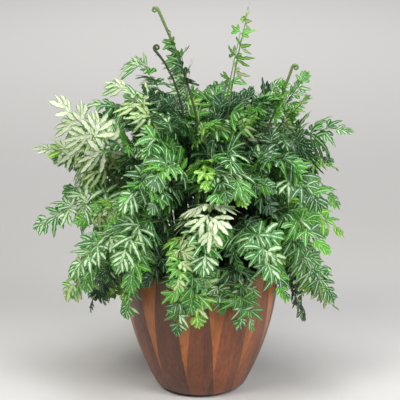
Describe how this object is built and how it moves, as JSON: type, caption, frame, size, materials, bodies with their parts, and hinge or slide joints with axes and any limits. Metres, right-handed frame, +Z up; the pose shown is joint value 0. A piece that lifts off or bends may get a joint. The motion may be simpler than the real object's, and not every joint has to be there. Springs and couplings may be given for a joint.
{
  "type": "potted silver lace fern",
  "caption": "Bushy fern with finely cut, silver-banded fronds that arch out of soil in a round, striped wooden pot.",
  "frame": {"origin": "middle of the flat foot that the pot stands on, on the axis of the pot", "axes": "+Z up along the axis of the pot, -Y towards the viewer of the picture, +X to the viewer's right"},
  "size_m": [0.4041, 0.3554, 0.5061],
  "materials": {
    "pot_wood": "satin varnish over staves of dark and light wood",
    "soil": "matt, crumbly",
    "leaf_green": "satin leaf with a pale band along each lobe",
    "leaf_dark": "satin leaf with a narrow silver band along each lobe",
    "leaf_lime": "soft young leaf with a light midrib",
    "leaf_silver": "satin leaf with a broad silver band along each lobe",
    "leaf_cream": "cream leaf with a thin green, toothed edge"
  },
  "bodies": {
    "root": {"cream_frond_front": "leaf_cream", "cream_frond_front_right": "leaf_cream", "cream_frond_high": "leaf_cream", "cream_frond_left": "leaf_cream", "crown_fronds_1": "leaf_dark", "crown_fronds_2": "leaf_green", "crown_fronds_3": "leaf_silver", "crozier_left": "leaf_dark", "crozier_right": "leaf_dark", "dark_frond_right": "leaf_dark", "fiddlehead_tall": "leaf_dark", "folded_frond_right": "leaf_dark", "hanging_frond_left": "leaf_lime", "hanging_frond_right": "leaf_silver", "high_fronds_1": "leaf_dark", "high_fronds_2": "leaf_green", "high_fronds_3": "leaf_silver", "high_fronds_4": "leaf_green", "lime_frond_left": "leaf_lime", "lime_frond_right": "leaf_lime", "low_fronds_1": "leaf_green", "low_fronds_2": "leaf_silver", "low_fronds_3": "leaf_green", "low_fronds_4": "leaf_dark", "low_fronds_5": "leaf_green", "middle_fronds_1": "leaf_green", "middle_fronds_2": "leaf_dark", "middle_fronds_3": "leaf_green", "middle_fronds_4": "leaf_silver", "middle_fronds_5": "leaf_green", "pale_frond_high_left": "leaf_lime", "pale_frond_left": "leaf_silver", "pale_frond_low_left": "leaf_silver", "pot": "pot_wood", "potting_soil": "soil", "rim_frond_1": "leaf_green", "rim_frond_10": "leaf_silver", "rim_frond_11": "leaf_green", "rim_frond_12": "leaf_dark", "rim_frond_2": "leaf_silver", "rim_frond_3": "leaf_green", "rim_frond_4": "leaf_dark", "rim_frond_5": "leaf_green", "rim_frond_6": "leaf_silver", "rim_frond_7": "leaf_green", "rim_frond_8": "leaf_dark", "rim_frond_9": "leaf_green", "side_fronds_1": "leaf_silver", "side_fronds_2": "leaf_green", "side_fronds_3": "leaf_dark", "side_fronds_4": "leaf_green", "side_fronds_5": "leaf_silver", "silver_frond_right": "leaf_silver", "whorled_frond_left": "leaf_lime", "whorled_frond_right": "leaf_lime"}
  },
  "joints": []
}
